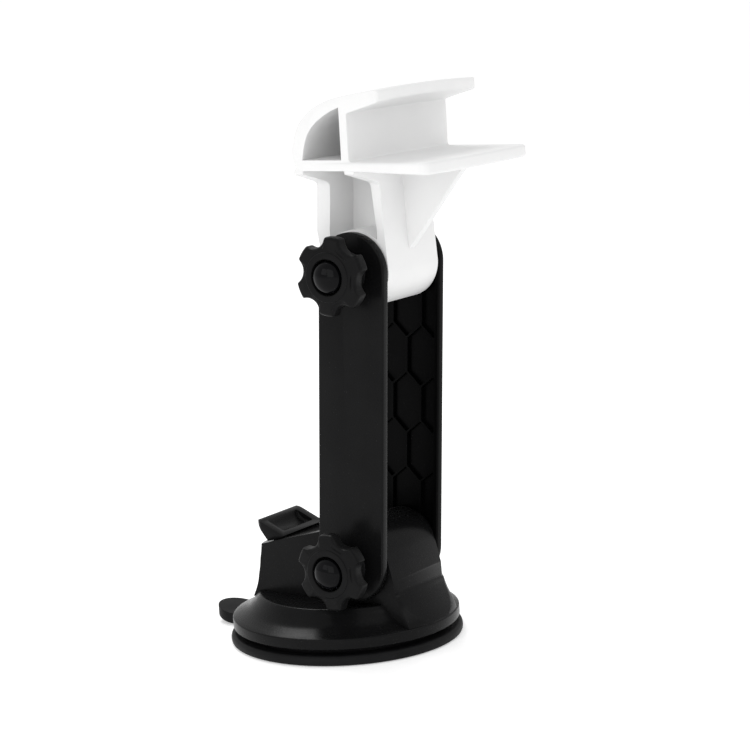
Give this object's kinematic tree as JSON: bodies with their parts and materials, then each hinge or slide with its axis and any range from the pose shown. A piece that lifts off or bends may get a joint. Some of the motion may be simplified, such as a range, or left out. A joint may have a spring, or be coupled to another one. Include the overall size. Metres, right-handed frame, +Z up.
{
  "type": "suction phone mount",
  "caption": "Suction-cup phone mount: bell base with a cam lever, arm of flat plates between clamped pivots, and a white phone cradle.",
  "frame": {"origin": "centre of the suction pad's flat underside", "axes": "+Z up; both pivots run along X with the knobs on the -X side; the phone stands on the -Y side and the pull tab points to +Y"},
  "size_m": [0.0748, 0.11, 0.1764],
  "materials": {
    "soft_rubber": "satin",
    "black_plastic": "fine satin texture",
    "white_plastic": "satin",
    "gloss_black": "polished",
    "steel": "zinc plated",
    "brass": "machined",
    "fibre": "matte"
  },
  "bodies": {
    "base": {"base_housing": "black_plastic", "pad_spring": "steel", "lower_friction_washer_left": "fibre", "lower_friction_washer_right": "fibre"},
    "pad": {"suction_pad": "soft_rubber", "pad_core": "black_plastic", "lever_pin": "steel"},
    "lever": {"flip_lever": "black_plastic"},
    "arm": {"arm_plate_left": "black_plastic", "arm_plate_right": "black_plastic", "lower_bolt": "steel", "lower_knob_washer": "steel", "upper_bolt": "steel", "upper_knob_washer": "steel"},
    "head": {"phone_cradle": "white_plastic", "upper_friction_washer_left": "fibre", "upper_friction_washer_right": "fibre"},
    "lower_knob_group": {"lower_knob": "black_plastic", "lower_knob_nut": "brass", "lower_knob_cap": "gloss_black"},
    "upper_knob_group": {"upper_knob": "black_plastic", "upper_knob_nut": "brass", "upper_knob_cap": "gloss_black"}
  },
  "joints": [
    {"name": "pad_draw", "type": "slide", "parent": "base", "child": "pad", "axis": [0, 0, 1], "range_m": [-0.0026, 0]},
    {"name": "lever_flip", "type": "hinge", "parent": "pad", "child": "lever", "pos_m": [0, 0, 0.0275], "axis": [1, 0, 0], "range_deg": [0, 75]},
    {"name": "arm_swing", "type": "hinge", "parent": "base", "child": "arm", "pos_m": [0, -0.0149, 0.0282], "axis": [1, 0, 0], "range_deg": [-94, 86]},
    {"name": "head_tilt", "type": "hinge", "parent": "arm", "child": "head", "pos_m": [0, -0.02135, 0.12037], "axis": [1, 0, 0], "range_deg": [-90, 105]},
    {"name": "lower_knob_turn", "type": "hinge", "parent": "arm", "child": "lower_knob_group", "pos_m": [-0.0265, -0.0149, 0.0282], "axis": [-1, 0, 0], "range_deg": [0, 360]},
    {"name": "upper_knob_turn", "type": "hinge", "parent": "arm", "child": "upper_knob_group", "pos_m": [-0.0265, -0.02135, 0.12037], "axis": [-1, 0, 0], "range_deg": [0, 360]}
  ],
  "couplings": [
    {"joint": "pad_draw", "follows": "lever_flip", "m_per_rad": -0.00168}
  ]
}
